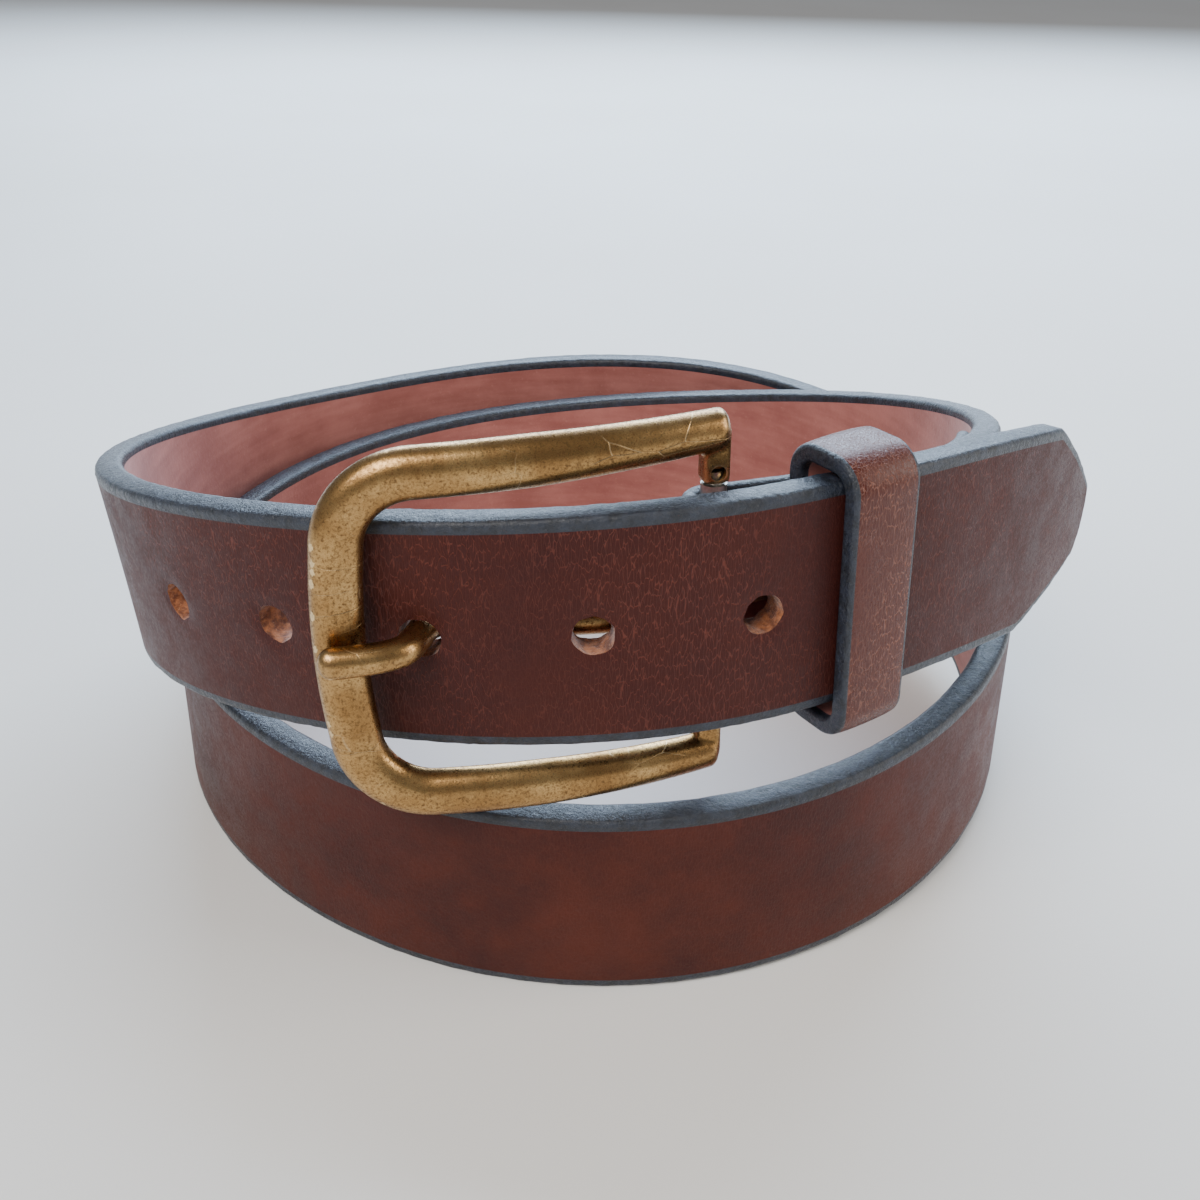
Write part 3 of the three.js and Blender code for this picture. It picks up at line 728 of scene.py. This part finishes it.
FRAME_LENGTH = 55.6
FRAME_HALF_HEIGHT = 27.5
FRAME_FAR_HALF_HEIGHT = 26.2
FRAME_CORNER = 11.5
FRAME_BOW = 3.2
FAR_BAR_BOW = 0.9
FRAME_HALF_WIDTH = 3.9
FRAME_END_HALF_WIDTH = 3.1
FRAME_FRONT = 3.2
FRAME_BACK = 1.9
ARM_END = -2.1
ARM_END_ROUND = 1.5
LUG_INNER = 19.3
LUG_HALF = 2.1
LUG_HOLE_RADIUS = 1.2
BAR_END_RADIUS = 1.3
LUG_BORE_DEPTH = 2


def frame_line():
    r, h = FRAME_CORNER, FRAME_FAR_HALF_HEIGHT
    corner = FRAME_LENGTH - r
    quarter = np.linspace(0, math.pi / 2, 24)
    points = [(ARM_END, -FRAME_HALF_HEIGHT)]
    points += [(corner + r * math.sin(t), -h + r - r * math.cos(t)) for t in quarter]
    for t in np.linspace(0, 1, 30)[1:-1]:
        x = FRAME_LENGTH + 4 * FAR_BAR_BOW * t * (1 - t)
        y = (1 - t) ** 2 * (r - h) + t**2 * (h - r)
        points.append((x, y))
    points += [(corner + r * math.cos(t), h - r + r * math.sin(t)) for t in quarter]
    points.append((ARM_END, FRAME_HALF_HEIGHT))
    points = np.array(points)
    run = np.concatenate([[0], np.cumsum(np.linalg.norm(np.diff(points, axis=0), axis=1))])
    even = np.linspace(0, run[-1], 260)
    return np.stack([np.interp(even, run, points[:, i]) for i in range(2)], axis=1), run[-1]


def frame_rail():
    line, total = frame_line()
    ahead = unit(np.gradient(line, axis=0))
    sides = 36
    points = []
    for i, (x, y) in enumerate(line):
        side = Vector((-ahead[i][1], ahead[i][0], 0))
        along_arm = min(max(x / (FRAME_LENGTH / 2), 0), 1)
        half_width = FRAME_END_HALF_WIDTH + (FRAME_HALF_WIDTH - FRAME_END_HALF_WIDTH) * along_arm
        from_end = min(i, len(line) - 1 - i) * total / (len(line) - 1)
        size = math.sqrt(1 - (1 - min(from_end / ARM_END_ROUND, 1)) ** 2)
        size = max(size, 0.4)
        bow = 4 * FRAME_BOW * (x / FRAME_LENGTH) * (1 - x / FRAME_LENGTH)
        for j in range(sides):
            turn = 2 * math.pi * j / sides
            c, s = math.cos(turn), math.sin(turn)
            reach = half_width * size * math.copysign(abs(c) ** 0.9, c)
            depth = (FRAME_FRONT if s > 0 else FRAME_BACK) * size * math.copysign(abs(s) ** 0.9, s)
            points.append(Vector((x, y, bow + depth)) + side * reach)
    return mesh_piece("frame_rail", [BUCKLE @ p for p in points], loft_faces(len(line), sides), [BRASS])


def lug_piece(sign):
    """The block inside an arm's end that holds the heel bar."""
    low, high = LUG_INNER, FRAME_HALF_HEIGHT
    levels = [low, low + 0.35, high]
    points = []
    for level in levels:
        inset = 0.35 if level == low else 0.0
        for j in range(40):
            turn = 2 * math.pi * j / 40
            c, s = math.cos(turn), math.sin(turn)
            x = (LUG_HALF - inset) * math.copysign(abs(c) ** 0.4, c)
            z = (LUG_HALF - inset) * math.copysign(abs(s) ** 0.4, s)
            points.append(BUCKLE @ Vector((z if sign > 0 else x, sign * level, x if sign > 0 else z)))
    return mesh_piece("lug", points, loft_faces(len(levels), 40), [BRASS])


def make_frame():
    piece = join("buckle_brass", [frame_rail(), lug_piece(-1), lug_piece(1)])
    fuse(piece, 0.34, CASTING_SMOOTHING)
    cutters = []
    for sign in (-1, 1):
        across = BUCKLE @ Matrix.Rotation(math.pi / 2, 4, "X")
        low, high = sorted((sign * (LUG_INNER - 3), sign * (LUG_INNER + LUG_BORE_DEPTH)))
        cutters.append(rod_piece("bore", across, BAR_END_RADIUS + GAP, -high, -low, BRASS))
        front = BUCKLE @ Matrix.Translation((0, sign * (LUG_INNER + 1.8), 0))
        cutters.append(rod_piece("front_hole", front, LUG_HOLE_RADIUS, 0.5, 4.0, BRASS))
    cut(piece, cutters)
    sharpen(piece, 40)
    return piece


# ---- the keeper ----

KEEPER_ANGLE = 672.6
KEEPER_TILT = math.radians(4)
KEEPER_WIDTH = 12.5
KEEPER_THICKNESS = 2.9
KEEPER_ROOM = {"outer": 3.1, "inner": 6.6, "top": 20.2, "bottom": 21.8}
KEEPER_CORNER = 2.6
STAPLE_SPAN = 8
STAPLE_WIRE = 0.45


def keeper_line():
    """The middle line of the keeper's leather, seen along the strap: out of it, and across it."""
    half = KEEPER_THICKNESS / 2
    r = KEEPER_CORNER + half
    right, left = KEEPER_ROOM["outer"] + half, -KEEPER_ROOM["inner"] - half
    top, bottom = KEEPER_ROOM["top"] + half, -KEEPER_ROOM["bottom"] - half
    points = []
    for cx, cy, start in ((right - r, top - r, 0), (left + r, top - r, 90), (left + r, bottom + r, 180),
                          (right - r, bottom + r, 270)):
        for t in np.radians(np.linspace(start, start + 90, 14)):
            points.append((cx + r * math.cos(t), cy + r * math.sin(t)))
    points = np.array(points + [points[0]])
    run = np.concatenate([[0], np.cumsum(np.linalg.norm(np.diff(points, axis=0), axis=1))])
    even = np.linspace(0, run[-1], 221)[:-1]
    return np.stack([np.interp(even, run, points[:, i]) for i in range(2)], axis=1)


def make_keeper():
    place = section_matrix(KEEPER_ANGLE) @ Matrix.Rotation(KEEPER_TILT, 4, "Z")
    line = keeper_line()
    ahead = unit(np.roll(line, -1, axis=0) - np.roll(line, 1, axis=0))
    half_width, half = KEEPER_WIDTH / 2, KEEPER_THICKNESS / 2
    r = 0.75
    profile = []
    for cx, cy, start in ((half_width - r, half - r, 0), (-half_width + r, half - r, 90),
                          (-half_width + r, -half + r, 180), (half_width - r, -half + r, 270)):
        for t in np.radians(np.linspace(start, start + 90, 6)):
            profile.append((cx + r * math.cos(t), cy + r * math.sin(t), "edge"))
        if start == 0:
            profile += [(x, half, "face") for x in np.linspace(half_width - 1.6, -half_width + 1.6, 9)]
        if start == 180:
            profile += [(x, -half, "inside") for x in np.linspace(-half_width + 1.6, half_width - 1.6, 5)]
    points = []
    for (w, v), (tw, tv) in zip(line, ahead):
        outward = (tv, -tw)
        for along, depth, kind in profile:
            crown = 0.25 * (1 - (along / half_width) ** 2) if kind == "face" else 0.0
            d = depth + crown
            points.append(place @ Vector((along, v + outward[1] * d, w + outward[0] * d)))
    size = len(profile)
    index = {"face": 0, "inside": 1, "edge": 2}
    kinds = []
    for j in range(size):
        one, other = profile[j][2], profile[(j + 1) % size][2]
        kinds.append(index[one] if one == other else 0 if "face" in (one, other) else 2)
    faces = loft_faces(len(line), size, closed_path=True)
    keeper = mesh_piece("keeper_leather", points, faces, [KEEPER_FACE, INSIDE, EDGE], kinds * len(line))
    turn_outward(keeper)
    cut(keeper, [staple_hollow(place, *size) for size in staple_boxes()])
    sharpen(keeper, 50)
    return keeper


def staple_boxes():
    """Low and high corners of the hollows for the staple's crown and its two legs."""
    wire = STAPLE_WIRE + GAP
    back = -KEEPER_ROOM["inner"] - KEEPER_THICKNESS
    reach = STAPLE_SPAN / 2 + wire
    yield (-wire, -reach, back - 1), (wire, reach, back + STAPLE_WIRE + wire)
    for y in (-STAPLE_SPAN / 2, STAPLE_SPAN / 2):
        yield (-wire, y - wire, back), (wire, y + wire, back + KEEPER_THICKNESS + 1)


def staple_hollow(place, low, high):
    corners = [(low[0], low[1]), (high[0], low[1]), (high[0], high[1]), (low[0], high[1])]
    points = [place @ Vector((x, y, z)) for z in (low[2], high[2]) for x, y in corners]
    hollow = mesh_piece("staple_hollow", points, loft_faces(2, 4), [INSIDE])
    turn_outward(hollow)
    return hollow


def turn_outward(piece):
    """Makes a closed piece's faces point out."""
    shape = bmesh.new()
    shape.from_mesh(piece.data)
    bmesh.ops.recalc_face_normals(shape, faces=shape.faces)
    shape.to_mesh(piece.data)
    shape.free()


def strap_cutters():
    """The holes, the slot for the prong, the prong's own way, and room for the screw posts."""
    cutters = []
    for length in HOLE_LENGTHS:
        place = section_matrix(float(angle_at(length)))
        cutters.append(rod_piece("punch", place, HOLE_RADIUS, -3.2, 3.4, RAW, 0.25, 0.35))
    cutters.append(slot_piece())
    cutters += [prong_clearance(play) for play in (0, 1.5, 3)]
    face = STRAP_THICKNESS / 2
    for distance in SCREW_DISTANCES:
        place = section_matrix(float(angle_at(distance)))
        cutters.append(rod_piece("post_hole", place, POST_RADIUS + GAP, -FOLD_BACK - 1, 1.3, RAW))
        shoulder = face - POST_HEAD - GAP
        cutters.append(rod_piece("head_hole", place, POST_HEAD_RADIUS + GAP, shoulder, face + GAP, RAW))
    for cutter in cutters:
        turn_outward(cutter)
    return cutters


# ---- putting it together ----

strap = make_strap()
turn_outward(strap)
cut(strap, strap_cutters())
sharpen(strap, 50)
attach(strap, "belt")
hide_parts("strap")

keeper = make_keeper()
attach(keeper, "keeper")
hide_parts("keeper_loop")

buckle = make_frame()
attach(buckle, "buckle")
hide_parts("buckle_frame")

prong = make_prong()
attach(prong, "tongue")
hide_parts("prong")

for node in ("keeper_staple", "heel_bar", "screw_post_1", "screw_1", "screw_post_2", "screw_2"):
    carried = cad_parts[node]
    carried.data.materials.clear()
    carried.data.materials.append(STEEL)

# ---- floor and light ----


def make_floor():
    look = Look("floor_paper", Specular_IOR_Level=0.3)
    cloud = look.grain(look.object_space, 3, 3)
    fine = look.grain(look.object_space, 900, 3)
    color = look.blend(look.span(cloud, 0.3, 0.7), rgb(0.78, 0.75, 0.71), rgb(0.82, 0.80, 0.77))
    look.finish(color, look.span(fine, 0.3, 0.7, 0.5, 0.6), look.relief(fine, 0.02))
    reach = 5000
    corners = [(-reach, -reach, 0), (reach, -reach, 0), (reach, reach, 0), (-reach, reach, 0)]
    floor = mesh_piece("floor", corners, [(0, 1, 2, 3)], [look.material])


def make_light(name, place, aim, size, energy, color):
    data = bpy.data.lights.new(name, "AREA")
    data.shape = "RECTANGLE"
    data.size, data.size_y = size
    data.energy = energy
    data.color = color
    lamp = bpy.data.objects.new(name, data)
    lamp.location = place
    lamp.rotation_euler = (Vector(aim) - Vector(place)).to_track_quat("-Z", "Y").to_euler()
    bpy.context.scene.collection.objects.link(lamp)


def make_world():
    world = bpy.data.worlds.new("studio")
    world.use_nodes = True
    background = world.node_tree.nodes["Background"]
    background.inputs["Color"].default_value = rgb(0.80, 0.84, 0.90)
    background.inputs["Strength"].default_value = 0.34
    bpy.context.scene.world = world


make_floor()
make_world()
make_light("key", (-0.35, -0.55, 0.75), (0, 0, 0.04), (0.6, 0.5), 9, (1.0, 0.97, 0.93))
make_light("sky", (0.1, 0.95, 0.62), (0, 0, 0.06), (1.3, 0.6), 34, (0.62, 0.79, 1.0))
make_light("side", (0.85, -0.1, 0.4), (0, 0, 0.05), (0.5, 0.6), 5, (1.0, 0.95, 0.88))
